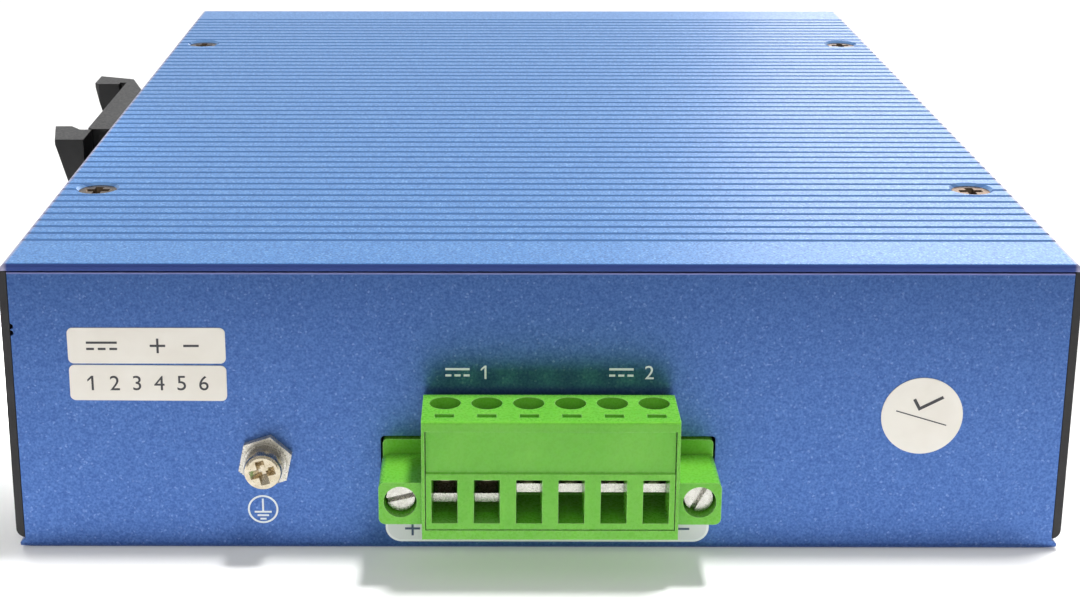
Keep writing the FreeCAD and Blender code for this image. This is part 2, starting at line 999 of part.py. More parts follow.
def plug_pole_cuts(x):
    """Cage chamber, screw shaft, test slot and contact tunnel of one pole."""
    chamber = box(
        about(x, chamber_half),
        between(chamber_front + past, chamber_back),
        (chamber_floor, chamber_roof),
    )
    shaft_foot = Vec(x, ahead(clamp_axis), chamber_roof - past)
    shaft = rod(clamp_hole_radius, shaft_foot, Vec(0, 0, plug_top - chamber_roof + 2 * past))
    slot_front = plug_front - test_slot_setback
    slot = box(
        about(x, test_slot_width / 2),
        between(slot_front, slot_front - test_slot_length),
        (plug_top - test_slot_depth, plug_top + past),
    )
    tunnel = box(
        about(x, contact_shell_width / 2 + running_gap),
        between(chamber_back + past, -nose_length),
        (axis_z - contact_shell_drop - running_gap, contact_bar_top + pin_gap),
    )
    return [chamber, shaft, slot, tunnel]


def plug_housing():
    housing = joined([plug_core()] + [plug_flange(x) for x in flange_centres()])
    cuts = [box(
        about(terminal_x, plug_half - plug_rim),
        between(plug_front + past, chamber_front),
        (plug_bottom + plug_lower_rim, plug_top - plug_upper_rim),
    )]
    for x in pole_centres():
        cuts.extend(plug_pole_cuts(x))
    for x in flange_centres():
        start = Vec(x, ahead(flange_front + past), axis_z)
        head_depth = past + flange_screw_sink + flange_head_length + pin_gap
        cuts.append(rod(flange_hole_radius, start, Vec(0, head_depth, 0)))
        cuts.append(rod(flange_shank_radius + cage_gap, start, Vec(0, flange_front + 2 * past, 0)))
    return housing.cut(cuts)


def entry_funnel(x):
    """Wire entry that narrows a little from the front face to the cage."""
    front_half = entry_width / 2
    sections = []
    for out, half in ((plug_front, front_half), (chamber_front - frame_gap, front_half - entry_taper)):
        corners = [
            Vec(x - half, ahead(out), entry_floor),
            Vec(x + half, ahead(out), entry_floor),
            Vec(x + half, ahead(out), entry_floor + entry_height),
            Vec(x - half, ahead(out), entry_floor + entry_height),
        ]
        sections.append(Part.makePolygon(corners + [corners[0]]))
    return Part.makeLoft(sections, True, True)


def plug_frame():
    """Front piece of the plug: wire entries below and a plain field above."""
    face = plug_front - frame_gap
    field_bottom = axis_z + field_above_axis
    low = plug_bottom + plug_lower_rim + frame_gap
    high = plug_top - plug_upper_rim - frame_gap
    outline = [
        (ahead(face), low),
        (ahead(face), field_bottom),
        (ahead(face - frame_step), field_bottom + frame_step / 2),
        (ahead(face - frame_step), high),
        (ahead(chamber_front), high),
        (ahead(chamber_front), low),
    ]
    frame = profile_x(outline, about(terminal_x, plug_half - plug_rim - frame_gap))
    return frame.cut([entry_funnel(x) for x in pole_centres()])


def clamp_cage(x, drop):
    """Rectangular loop round the wire, with a threaded roof."""
    half = chamber_half - cage_gap
    low = cage_bottom - drop
    high = low + cage_height
    front = chamber_front - 2 * cage_gap
    back = chamber_back + 2 * cage_gap
    loop = box(about(x, half), between(front, back), (low, high))
    hollow = box(
        about(x, half - cage_wall),
        between(front + past, back - past),
        (low + cage_floor, high - cage_roof),
    )
    bore_foot = Vec(x, ahead(clamp_axis), high - cage_roof - past)
    return loop.cut([hollow, rod(screw_tap_radius, bore_foot, Vec(0, 0, cage_roof + 2 * past))])


def clamp_screw(x):
    head_top = plug_top - clamp_head_sink
    head_under = head_top - clamp_head_height
    points = [
        (0, contact_bar_top + pin_gap),
        (clamp_thread_radius, contact_bar_top + pin_gap),
        (clamp_thread_radius, head_under),
        (clamp_head_radius, head_under),
        (clamp_head_radius, head_top),
        (0, head_top),
    ]
    screw = turned(points, Vec(x, ahead(clamp_axis), 0), ALONG_Z)
    slot = box(
        about(x, clamp_head_radius + past),
        about(ahead(clamp_axis), clamp_slot_width / 2),
        (head_top - clamp_slot_depth, head_top + past),
    )
    return screw.cut(slot)


def plug_contact(x):
    """Spring socket for the pin in the nose, with a tongue that runs on into the cage."""
    start = chamber_back - contact_shell_setback
    end = plug_shoulder + frame_gap - nose_length
    pin_half = pin_side / 2 + pin_gap
    shell = box(
        about(x, contact_shell_width / 2),
        between(start, end),
        (axis_z - contact_shell_drop, contact_bar_top),
    )
    pocket = box(about(x, pin_half), between(start - cage_wall, end - past), about(axis_z, pin_half))
    half = contact_bar_width / 2
    outline = [
        (x - half, ahead(start - cage_wall)),
        (x - half, ahead(contact_bar_reach - half / 2)),
        (x - half / 2, ahead(contact_bar_reach)),
        (x + half / 2, ahead(contact_bar_reach)),
        (x + half, ahead(contact_bar_reach - half / 2)),
        (x + half, ahead(start - cage_wall)),
    ]
    tongue = profile_z(outline, (contact_bar_under, contact_bar_top))
    return joined([shell.cut(pocket), tongue])


def flange_screw(x, slot_angle):
    face = flange_front - flange_screw_sink
    length = face + flange_screw_reach
    points = [
        (0, 0),
        (flange_screw_radius, 0),
        (flange_screw_radius, flange_head_length),
        (flange_shank_radius, flange_head_length),
        (flange_shank_radius, length),
        (0, length),
    ]
    slot = box(
        about(0, flange_screw_radius + past),
        about(0, flange_slot_width / 2),
        (-past, flange_slot_depth),
    )
    screw = placed(turned(points, Vec(0, 0, 0), ALONG_Z).cut(slot), Vec(x, ahead(face), axis_z), ALONG_Y)
    screw.rotate(Vec(x, ahead(face), axis_z), ALONG_Y, -slot_angle)
    return screw


# Stickers

def rating_sticker(z, tilt):
    block = box(
        about(sticker_x, sticker_length / 2),
        between(sticker_height, 0),
        about(z, sticker_width / 2),
    )
    block = rounded(block, sticker_corner, ALONG_Y, lambda middle: True)
    block.rotate(Vec(sticker_x, 0, z), ALONG_Y, tilt)
    return block


def round_sticker():
    x = half_width - round_sticker_front_distance
    z = case_height - round_sticker_top_distance
    return rod(round_sticker_radius, Vec(x, ahead(sticker_height), z), Vec(0, sticker_height, 0))


# Ports

def port_layout():
    """Middle Y of the socket block, the two cages and the light block, evenly spread."""
    widths = [jack_width, cage_port_width, cage_port_width, light_block_width]
    reach = inner_wall - port_end_margin
    gap = (2 * reach - sum(widths)) / (len(widths) + 1)
    middles = []
    y = -reach
    for width in widths:
        middles.append(y + gap + width / 2)
        y = y + gap + width
    return middles


jack_y, cage_y_one, cage_y_two, light_y = port_layout()


def jack_column_middles():
    first = jack_y - (jack_columns - 1) * jack_pitch / 2
    return [first + column * jack_pitch for column in range(jack_columns)]


def socket_places():
    """Middle Y and Z of each socket, with the side that its latch notch is on."""
    places = []
    for y in jack_column_middles():
        places.append((y, row_low, -1))
        places.append((y, row_high, 1))
    return places


def socket_hollow(y, z, latch_side, depth, margin):
    mouth = (port_front - depth, port_front + past)
    hollow = box(mouth, about(y, socket_width / 2 + margin), about(z, socket_height / 2 + margin))
    tip = z + latch_side * (socket_height / 2 + latch_notch_height + margin)
    notch = box(mouth, about(y, latch_notch_width / 2 + margin), tuple(sorted((z, tip))))
    return hollow.fuse(notch)


def jack_body():
    sheet = shield_sheet + shield_gap
    block = box(
        (jack_back + sheet, port_front - sheet),
        about(jack_y, jack_width / 2 - sheet),
        (board_top, board_top + jack_height - sheet),
    )
    return block.cut([socket_hollow(y, z, side, socket_depth, 0) for y, z, side in socket_places()])


def jack_shield():
    shell = box(
        (jack_back, port_front),
        about(jack_y, jack_width / 2),
        (board_top, board_top + jack_height),
    )
    inner = box(
        (jack_back + shield_sheet, port_front - shield_sheet),
        about(jack_y, jack_width / 2 - shield_sheet),
        (board_top - past, board_top + jack_height - shield_sheet),
    )
    windows = [socket_hollow(y, z, side, shield_sheet + past, port_gap) for y, z, side in socket_places()]
    return shell.cut([inner] + windows)


def jack_contacts():
    """Eight sloping contact wires in each socket, on the side away from the latch."""
    wires = []
    back = port_front - socket_depth
    for y, z, side in socket_places():
        root = z - side * (socket_height / 2 - wire_root)
        tip = root + side * wire_rise
        outline = [
            (back, root),
            (back + wire_length, tip),
            (back + wire_length, tip + side * wire_thickness),
            (back, root + side * wire_thickness),
        ]
        for index in range(wire_count):
            middle = y + (index - (wire_count - 1) / 2) * wire_pitch
            wires.append(profile_y(outline, about(middle, wire_width / 2)))
    return wires


def port_cage(y):
    """Folded sheet cage, open at the front."""
    roof = board_top + cage_port_height
    shell = box((cage_port_back, port_front), about(y, cage_port_width / 2), (board_top, roof))
    hollow = box(
        (cage_port_back + cage_port_sheet, port_front + past),
        about(y, cage_port_width / 2 - cage_port_sheet),
        (board_top + cage_port_sheet, roof - cage_port_sheet),
    )
    return shell.cut(hollow)


def cage_connector(y):
    start = cage_port_back + cage_port_sheet
    end = start + connector_length
    low = board_top + cage_port_sheet
    high = low + connector_height
    outline = [
        (start, low),
        (end, low),
        (end, high - connector_chamfer),
        (end - connector_chamfer, high),
        (start, high),
    ]
    body = profile_y(outline, about(y, connector_width / 2))
    slot = box(
        (end - connector_slot_depth, end + past),
        about(y, connector_slot_width / 2),
        about((low + high) / 2, connector_slot_height / 2),
    )
    return body.cut(slot)


def light_heights():
    return [board_top + light_first_height + row * light_pitch for row in range(light_count)]


def light_pipe():
    """Clear moulding: a foot on the board and one rod for each indicator."""
    high = light_heights()[-1] + light_top_margin
    front = light_back + light_block_depth
    block = box((light_back, front), about(light_y, light_block_width / 2), (board_top, high))
    pocket = box(
        (light_back - past, light_back + light_block_depth / 2),
        about(light_y, light_block_width / 2 - light_block_wall),
        (board_top - past, high - light_block_wall),
    )
    reach = Vec(half_width + light_stand_out - front + past, 0, 0)
    rods = [rod(light_pipe_radius, Vec(front - past, light_y, z), reach) for z in light_heights()]
    return joined([block.cut(pocket)] + rods)


def status_lights():
    front = light_back + light_block_depth / 2
    side = light_side / 2
    return [box((front - light_side, front), about(light_y, side), about(z, side)) for z in light_heights()]


def front_panel():
    """End panel with the windows of the socket block, the cages and the indicators."""
    through = (panel_inner - panel_sheet / 2, half_width + past)
    windows = [(jack_y, jack_width, jack_height)]
    windows.append((cage_y_one, cage_port_width, cage_port_height))
    windows.append((cage_y_two, cage_port_width, cage_port_height))
    cuts = []
    for y, width, height in windows:
        heights = (board_top - port_gap, board_top + height + port_gap)
        cuts.append(box(through, about(y, width / 2 + port_gap), heights))
    for z in light_heights():
        start = Vec(panel_inner - panel_sheet / 2, light_y, z)
        cuts.append(rod(light_pipe_radius + light_hole_gap, start, Vec(2 * panel_sheet, 0, 0)))
    return folded_panel().cut(cuts)


# Board and what stands on it

def spacer_places():
    return [(side_x * spacer_x, side_y * spacer_y) for side_x in (-1, 1) for side_y in (-1, 1)]


def main_board():
    board = box((board_rear_x, board_front_x), (-board_edge_y, board_edge_y), (board_under, board_top))
    board = rounded(board, board_corner, ALONG_Z, lambda middle: True)
    drop = Vec(0, 0, board_thickness + 2 * past)
    cuts = [rod(screw_hole_radius, Vec(x, y, board_under - past), drop) for x, y in spacer_places()]
    half = pin_side / 2 + pin_gap
    heights = (board_under - past, board_top + past)
    cuts.extend([box(about(x, half), about(ahead(pin_bend), half), heights) for x in pole_centres()])
    return board.cut(cuts)


def board_spacers():
    """Hex stand-offs between the floor and the board."""
    spacer = hex_nut(spacer_flats, spacer_height, screw_tap_radius)
    return [placed(spacer, Vec(x, y, floor_thickness), ALONG_Z) for x, y in spacer_places()]


def board_screw(x, y):
    tip = floor_thickness + board_screw_rise
    points = [
        (0, tip),
        (screw_thread_radius, tip),
        (screw_thread_radius, board_top),
        (board_head_radius, board_top),
        (board_head_radius, board_top + board_head_height),
        (0, board_top + board_head_height),
    ]
    return turned(points, Vec(x, y, 0), ALONG_Z)


def on_board(x, y, size, height, lift=0.0):
    low = board_top + lift
    return box(about(x, size[0] / 2), about(y, size[1] / 2), (low, low + height))


def switch_chip():
    return on_board(chip_x, chip_y, (chip_side, chip_side), chip_height)


def thermal_pad():
    side = chip_side - 2 * pad_margin
    return on_board(chip_x, chip_y, (side, side), pad_height, chip_height)


def heat_sink():
    """Finned block on the switch chip."""
    low = board_top + chip_height + pad_height
    left = chip_x - sink_side / 2
    base = on_board(chip_x, chip_y, (sink_side, sink_side), sink_base, chip_height + pad_height)
    pitch = (sink_side - sink_fin) / (sink_fins - 1)
    fins = []
    for index in range(sink_fins):
        start = left + index * pitch
        fins.append(box((start, start + sink_fin), about(chip_y, sink_side / 2), (low, low + sink_height)))
    return joined([base] + fins)


def power_controllers():
    size = (controller_side, controller_side)
    places = (controller_first_y, controller_first_y + controller_pitch)
    return [on_board(chip_x, y, size, controller_height) for y in places]


def port_transformers():
    x = jack_back - port_transformer_gap - port_transformer_depth / 2
    size = (port_transformer_depth, jack_pitch - port_transformer_gap)
    return [on_board(x, y, size, port_transformer_height) for y in jack_column_middles()]


def power_inductor(y):
    """Moulded inductor: a square block with cut corners."""
    x = transformer_x
    half = inductor_side / 2
    inner = half - inductor_corner
    outline = [
        (x - half, y - inner),
        (x - inner, y - half),
        (x + inner, y - half),
        (x + half, y - inner),
        (x + half, y + inner),
        (x + inner, y + half),
        (x - inner, y + half),
        (x - half, y + inner),
    ]
    return profile_z(outline, (board_top, board_top + inductor_height))


def power_inductors():
    return [power_inductor(inductor_first_y + index * inductor_pitch) for index in range(inductor_count)]


def bulk_capacitors():
    rise = Vec(0, 0, can_height)
    return [rod(can_radius, Vec(can_x, y, board_top), rise) for y in can_places_y]


def isolating_transformer():
    """Core with two winding windows through it."""
    y = transformer_y
    core = on_board(transformer_x, y, (transformer_depth, transformer_width), transformer_height)
    through = about(transformer_x, transformer_depth / 2 + past)
    heights = (board_top + transformer_leg, board_top + transformer_height - transformer_leg)
    outer = transformer_width / 2 - transformer_leg
    inner = outer - transformer_window
    windows = [box(through, (y - outer, y - inner), heights), box(through, (y + inner, y + outer), heights)]
    return core.cut(windows)


# Write one file for each node

os.makedirs("parts", exist_ok=True)
save("base_channel", base_channel())
save("top_cover", top_cover())
save("front_panel", front_panel())
save("rear_panel", rear_panel())
save("cover_screws", *case_screws(case_height, -ALONG_Z))
save("base_screws", *case_screws(0, ALONG_Z))
save("din_clip_body", din_clip_body())
save("din_latch", din_latch())
save("din_latch_spring", din_latch_spring())
save("din_clip_screws", *[clip_screw(place) for place in clip_screw_places()])
save("din_clip_nuts", *clip_nuts())
save("earth_nut", earth_nut())
save("earth_flat_washer", washer(earth_nut_height, flat_washer_radius, flat_washer_height))
save("earth_split_washer", split_washer(earth_nut_height + flat_washer_height))
save("earth_screw", earth_screw())
save("earth_inner_nut", earth_inner_nut())
save("terminal_header", terminal_header())
save("header_pins", *header_pins())
save("header_inserts", *header_inserts())
save("plug_housing", plug_housing())
save("plug_frame", plug_frame())
for number, pole_x in enumerate(pole_centres(), 1):
    save("clamp_cage_%d" % number, clamp_cage(pole_x, cage_lowered if number < 3 else 0.0))
    save("clamp_screw_%d" % number, clamp_screw(pole_x))
save("plug_contacts", *[plug_contact(x) for x in pole_centres()])
save("flange_screws", *[flange_screw(x, angle) for x, angle in zip(flange_centres(), flange_slot_turns)])
save("rating_sticker_upper", rating_sticker(sticker_upper_z, 0.0))
save("rating_sticker_lower", rating_sticker(sticker_lower_z, sticker_tilt))
save("round_sticker", round_sticker())
save("main_board", main_board())
save("board_spacers", *board_spacers())
save("board_screws", *[board_screw(x, y) for x, y in spacer_places()])
save("jack_body", jack_body())
save("jack_shield", jack_shield())
save("jack_contacts", *jack_contacts())
save("port_cage_1", port_cage(cage_y_one))
save("port_cage_2", port_cage(cage_y_two))
save("cage_connectors", cage_connector(cage_y_one), cage_connector(cage_y_two))
save("light_pipe", light_pipe())
save("status_lights", *status_lights())
save("switch_chip", switch_chip())
save("thermal_pad", thermal_pad())
save("heat_sink", heat_sink())
save("power_controllers", *power_controllers())
save("port_transformers", *port_transformers())
save("power_inductors", *power_inductors())
save("bulk_capacitors", *bulk_capacitors())
save("isolating_transformer", isolating_transformer())
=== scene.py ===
import json
import math
import bmesh
import bpy
from mathutils import Matrix, Vector


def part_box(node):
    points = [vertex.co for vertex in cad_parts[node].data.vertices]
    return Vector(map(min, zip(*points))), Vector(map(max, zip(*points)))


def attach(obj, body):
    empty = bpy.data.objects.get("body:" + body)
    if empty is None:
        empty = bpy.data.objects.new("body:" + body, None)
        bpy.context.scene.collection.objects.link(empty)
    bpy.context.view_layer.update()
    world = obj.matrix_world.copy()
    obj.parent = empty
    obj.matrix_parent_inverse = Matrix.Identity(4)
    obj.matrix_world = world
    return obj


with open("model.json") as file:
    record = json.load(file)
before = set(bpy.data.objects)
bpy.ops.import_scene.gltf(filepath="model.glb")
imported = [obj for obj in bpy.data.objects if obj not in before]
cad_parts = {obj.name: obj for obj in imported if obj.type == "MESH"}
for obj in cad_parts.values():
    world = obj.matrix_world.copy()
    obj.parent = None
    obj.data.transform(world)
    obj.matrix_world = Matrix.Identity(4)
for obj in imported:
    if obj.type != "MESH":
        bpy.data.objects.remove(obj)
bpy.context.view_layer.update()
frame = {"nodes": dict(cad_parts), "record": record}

# The rail-mount switch lies on its plain side.
# Sizes are in millimetres, and MM makes them the frame's metres.
MM = 0.001
nodes = frame["nodes"]
scene = bpy.context.scene

# Camera, measured in pixels and degrees on a picture of this size
PICTURE_WIDTH = 1080
PICTURE_HEIGHT = 605
FOCAL_PIXELS = 1843
CENTRE_PIXEL = (482, 166)
CAMERA_PLACE = (-6.3, -294.6, 109.2)
CAMERA_PITCH = 15.5
CAMERA_YAW = 0.21
SENSOR_WIDTH = 36
CLIP_NEAR = 10
CLIP_FAR = 20000

# Label under the plug
POLES = 6
FILM = 0.05
BAND_SIDE = 0.2
BAND_RAISE = 1.1
BAND_HEIGHT = 4.8
BAND_CORNER = 2.0
BAND_BORDER = 0.3
BAND_MARK_RAISE = 2.9
BAND_MARK_HEIGHT = 1.9
BAND_END_INSET = 3.4

# Print on the terminal wall and the stickers
INK = 0.03
STROKE = 0.28
NUMERAL_RISE = 2.4
NUMERAL_HEIGHT = 1.75
NUMERAL_SPREAD = 10.1
NUMERAL_STEM_SHARE = 0.14
NUMERAL_FLAG_SHARE = 0.26
NUMERAL_NOTCH_SHARE = 0.168
SUPPLY_SIGN_LENGTH = 3.0
SUPPLY_SIGN_GAP = 0.55
SUPPLY_SIGN_OFFSET = 2.3
EARTH_SIGN_DROP = 6.7
EARTH_SIGN_SHIFT = -0.55
EARTH_SIGN_RADIUS = 1.92
EARTH_SIGN_LINE = 0.24
EARTH_BAR_SHARES = (0.56, 0.38, 0.2)
STICKER_SIGN_LENGTH = 3.8
STICKER_MARK = 1.9
STICKER_NUMERAL = 1.9
STICKER_PITCH = 2.75
TICK_SPAN = 3.6
TICK_STROKE = 0.55
TICK_LONG_SHARE = 0.68
ROUND_LINE_LENGTH = 6.6
ROUND_TILT = 17
CORNER_STEPS = 12
RING_STEPS = 48
SEAM = 0.001

# Grain and edges of the surfaces. The blasted grain is really finer and is drawn coarse enough to show.
BLAST_DENT = 0.22
BLAST_GRAIN = 0.28
BLAST_DEPTH = 0.012
BLAST_EDGE = 0.12
BLAST_ROUGHNESS = (0.36, 0.48)
SEAL_ROUGHNESS = 0.3
SEAL_IOR = 1.6
# Width of a painted highlight on the cover's sawn ends
SAWN_END_HIGHLIGHT = 0.9
# Width of painted shade along the cover's long edges
LONG_EDGE_SHADE = 0.3
# Width of a painted highlight along the wall's upper rim
RIM_HIGHLIGHT = 0.25
# Depth below the cover's top from which its grooves get painted light
GROOVE_LIGHT_DEPTH = 0.05
COAT_GRAIN = 0.5
MOULD_GRAIN = 0.35
BEVEL_SAMPLES = 4

# How far red, green and blue light reach into the green plastic
GREEN_LIGHT_DEPTH = (0.4, 0.8, 0.25)

# Noise values between which a tone or a roughness changes, and the turns of a softened edge between which a
# painted highlight comes in
GRAIN_LOW = 0.3
GRAIN_HIGH = 0.7
TONE_LOW = 0.35
TONE_HIGH = 0.65
GLINT_START = 0.95
HIGHLIGHT_START_TURN = 0.99
HIGHLIGHT_FULL_TURN = 0.85

# Light: radiance of the surroundings, and a white sheet on a dark table
SKY = 0.4
SHEET_WHITENESS = 0.95
TABLE_GREY = 0.05
SHEET_HALF_WIDTH = 450
SHEET_NEAR_EDGE = -174
SHEET_FAR_EDGE = 900
SHEET_THICKNESS = 0.3
TABLE_HALF_WIDTH = 3000
STAGE_ROUGHNESS = 0.5

# Lamps, in metres: name, place, target, size, watts, tint, spread in degrees, and whether mirrored.
# The small left one whitens the strip of floor beside the case.
LAMPS = (
    ("overhead", (0.22, 0.02, 1.1), (0, -0.06, 0), (0.14, 0.14), 2.9, "#FFFFFF", 90, False),
    ("back_wall", (-0.1, 1.4, 0.5), (0, 0, 0.05), (2.4, 1.0), 4.0, "#FFFFFF", 180, True),
    ("far_right", (0.58, 1.2, 0.4), (0, 0, 0.03), (0.8, 0.7), 3.6, "#FFE8D4", 180, True),
    ("left_strip", (-0.13, 0.02, 0.1), (-0.076, -0.035, 0), (0.03, 0.03), 0.022, "#FFFFFF", 35, False),
    ("front_fill", (0, -1.4, 0.55), (0, -0.08, 0), (1.6, 0.5), 6.2, "#FFFFFF", 180, False),
)


def millimetres(*values):
    return Vector(values) * MM


def node_box(name):
    """Lowest and highest corner of a node, in millimetres."""
    low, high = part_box(name)
    return Vector(low) / MM, Vector(high) / MM


def middle_of(name):
    low, high = node_box(name)
    return (low + high) / 2


# Materials

def per_mm(size):
    """Texture scale whose features are this many millimetres wide."""
    return 1.0 / (size * MM)


def linear(colour):
    """A hex colour as linear red, green, blue and alpha."""
    channels = []
    for place in (1, 3, 5):
        value = int(colour[place:place + 2], 16) / 255
        channels.append(value / 12.92 if value <= 0.04045 else ((value + 0.055) / 1.055) ** 2.4)
    return channels + [1.0]


def add(tree, kind, settings=None, inputs=None):
    """Add a node; inputs hold values to set or sockets to link, by name or number.

    A Mix of colours has its share at 0, the colours at 6 and 7 and the mixture at output 2. A MapRange
    carries input 0 from the range of 1 and 2 to that of 3 and 4, which is nought to one if left out."""
    node = tree.nodes.new("ShaderNode" + kind)
    for name, value in (settings or {}).items():
        setattr(node, name, value)
    for name, value in (inputs or {}).items():
        if isinstance(value, bpy.types.NodeSocket):
            tree.links.new(value, node.inputs[name])
        else:
            node.inputs[name].default_value = value
    return node


def new_material(name):
    material = bpy.data.materials.new(name)
    material.use_nodes = True
    material.node_tree.nodes.clear()
    return material


def rubbed_edges(tree, colour, soft_normal, tone):
    """Mix a paler tone in where the softened edge turns away from the face: a painted highlight on the
    edges.
    """
    face = add(tree, "NewGeometry").outputs["Normal"]
    turn = add(tree, "VectorMath", {"operation": "DOT_PRODUCT"}, {0: soft_normal, 1: face})
    highlight_share = add(tree, "MapRange", None, {0: turn.outputs["Value"], 1: HIGHLIGHT_START_TURN, 2: HIGHLIGHT_FULL_TURN})
    paler = add(tree, "Mix", {"data_type": "RGBA"}, {0: highlight_share.outputs[0], 6: colour, 7: linear(tone)})
    return paler.outputs[2]


def surface(name, colours, tone_size, rough, grain_size, grain_depth, fixed=None, edge=0.0, edge_highlight_tone=None):
    """A material whose tone, roughness and relief follow noise of real sizes.

    colours are two hex tones, rough the lowest and highest roughness, sizes are in millimetres,
    fixed holds the shader's constants, edge is the softened edge's radius and the edge tone the colour of a
    painted highlight on it."""
    material = new_material(name)
    tree = material.node_tree
    place = add(tree, "TexCoord").outputs["Object"]
    tone = add(tree, "TexNoise", None, {"Vector": place, "Scale": per_mm(tone_size), "Detail": 3.0})
    grain = add(tree, "TexNoise", None, {"Vector": place, "Scale": per_mm(grain_size), "Detail": 2.0})
    share = add(tree, "MapRange", None, {0: tone.outputs[0], 1: TONE_LOW, 2: TONE_HIGH})
    colour = add(tree, "Mix", {"data_type": "RGBA"},
                 {0: share.outputs[0], 6: linear(colours[0]), 7: linear(colours[1])}).outputs[2]
    shine = add(tree, "MapRange", None,
                {0: grain.outputs[0], 1: GRAIN_LOW, 2: GRAIN_HIGH, 3: rough[0], 4: rough[1]})
    relief = {"Height": grain.outputs[0], "Strength": 1.0, "Distance": grain_depth * MM}
    if edge:
        soft = add(tree, "Bevel", {"samples": BEVEL_SAMPLES}, {"Radius": edge * MM})
        relief["Normal"] = soft.outputs[0]
    # Painted highlight on the softened edges
    if edge_highlight_tone:
        colour = rubbed_edges(tree, colour, relief["Normal"], edge_highlight_tone)
    bump = add(tree, "Bump", None, relief)
    inputs = {"Base Color": colour, "Roughness": shine.outputs[0], "Normal": bump.outputs[0]}
    inputs.update(fixed or {})
    shader = add(tree, "BsdfPrincipled", None, inputs)
    add(tree, "OutputMaterial", None, {"Surface": shader.outputs[0]})
    return material


def start_blasted(name, tones, glint, share):
    """Begin a blasted and dyed metal, in which a share of the dents is drawn paler as painted glints.

    Gives the material, the place along each axis, the colour and the grain."""
    material = new_material(name)
    tree = material.node_tree
    place = add(tree, "TexCoord").outputs["Object"]
    axes = add(tree, "SeparateXYZ", None, {0: place})
    dents = add(tree, "TexVoronoi", None, {"Vector": place, "Scale": per_mm(BLAST_DENT)})
    grain = add(tree, "TexNoise", None, {"Vector": place, "Scale": per_mm(BLAST_GRAIN), "Detail": 3.0})
    paler = add(tree, "MapRange", None, {0: grain.outputs[0], 1: GRAIN_LOW, 2: GRAIN_HIGH})
    dyed = add(tree, "Mix", {"data_type": "RGBA"},
               {0: paler.outputs[0], 6: linear(tones[0]), 7: linear(tones[1])})
    # Painted glints: a paler colour in a share of the dents
    glinting = add(tree, "MapRange", None, {0: dents.outputs["Color"], 1: GLINT_START - share, 2: 1.0})
    colour = add(tree, "Mix", {"data_type": "RGBA"},
                 {0: glinting.outputs[0], 6: dyed.outputs[2], 7: linear(glint)})
    return material, axes.outputs, colour.outputs[2], grain.outputs[0]


def near_edge(tree, axis, reach, width):
    """One at the outer faces, reach millimetres to both sides along an axis, and nought a width inside."""
    away = add(tree, "Math", {"operation": "ABSOLUTE"}, {0: axis})
    limits = {0: away.outputs[0], 1: (reach - width) * MM, 2: (reach - width / 2) * MM}
    return add(tree, "MapRange", None, limits).outputs[0]


def finish_blasted(tree, colour, grain, edges, metal, seal):
    """End a blasted metal with painted light and shade laid on its edges, a relief and a sealed skin.

    edges are pairs of a share and a hex tone, which paint light and shade on the edges and grooves. Where
    the grain is high, the skin is smoother."""
    for share, tone in edges:
        laid = add(tree, "Mix", {"data_type": "RGBA"}, {0: share, 6: colour, 7: linear(tone)})
        colour = laid.outputs[2]
    smooth, matt = BLAST_ROUGHNESS
    shine = add(tree, "MapRange", None, {0: grain, 1: GRAIN_LOW, 2: GRAIN_HIGH, 3: matt, 4: smooth})
    soft = add(tree, "Bevel", {"samples": BEVEL_SAMPLES}, {"Radius": BLAST_EDGE * MM})
    relief = add(tree, "Bump", None, {"Height": grain, "Strength": 1.0, "Distance": BLAST_DEPTH * MM,
                                      "Normal": soft.outputs[0]})
    shader = add(tree, "BsdfPrincipled", None, {
        "Base Color": colour, "Roughness": shine.outputs[0], "Normal": relief.outputs[0],
        "Metallic": metal, "Coat Weight": seal, "Coat Roughness": SEAL_ROUGHNESS, "Coat IOR": SEAL_IOR,
    })
    add(tree, "OutputMaterial", None, {"Surface": shader.outputs[0]})


def blue_wall():
    """Aluminium channel, bead-blasted, anodised and dyed blue: a fine sparkle of painted glints, and a
    painted highlight on its upper rim.
    """
    material, axes, colour, grain = start_blasted(
        "blue_anodised_wall", tones=("#4063A7", "#5A80C1"), glint="#7C9AD2", share=0.13)
    tree = material.node_tree
    top = node_box("base_channel")[1].z
    # Painted highlight along the wall's top edge
    rim = near_edge(tree, axes["Z"], top, RIM_HIGHLIGHT)
    finish_blasted(tree, colour, grain, [(rim, "#9A9FDA")], metal=0.9, seal=0.2)
    return material


def blue_cover():
    """Ribbed extrusion of the same finish, drawn in paler, more cyan tones than the wall as painted light
    on a top that faces the bright back;
    painted shade on its long edges, a painted highlight on its sawn ends, and paler grooves as painted
    light that lifts the shade in them."""
    # The cover's paler, more cyan tones than the wall's are painted light
    material, axes, colour, grain = start_blasted(
        "blue_anodised_cover", tones=("#2A74C4", "#58A8F3"), glint="#8CC5FA", share=0.25)
    tree = material.node_tree
    half = node_box("top_cover")[1]
    # Painted light in the grooves: a paler tone below the ribs' tops
    groove_light_limits = {0: axes["Z"], 1: (half.z - GROOVE_LIGHT_DEPTH / 2) * MM, 2: (half.z - GROOVE_LIGHT_DEPTH) * MM}
    groove_light = add(tree, "MapRange", None, groove_light_limits).outputs[0]
    # Painted shade along the long edges
    front = near_edge(tree, axes["Y"], half.y, LONG_EDGE_SHADE)
    # Painted highlight on the sawn ends
    sawn = near_edge(tree, axes["X"], half.x, SAWN_END_HIGHLIGHT)
    edges = [(groove_light, "#7EACE6"), (front, "#3A519C"), (sawn, "#B9B6D2")]
    finish_blasted(tree, colour, grain, edges, metal=0.7, seal=0.35)
    return material


def black_coat():
    """Sheet steel with a matt black powder coat: a fine orange peel."""
    return surface("black_powder_coat", ("#242324", "#2E2D2E"), tone_size=4.0, rough=(0.5, 0.62),
                   grain_size=COAT_GRAIN, grain_depth=0.02, edge=0.1)


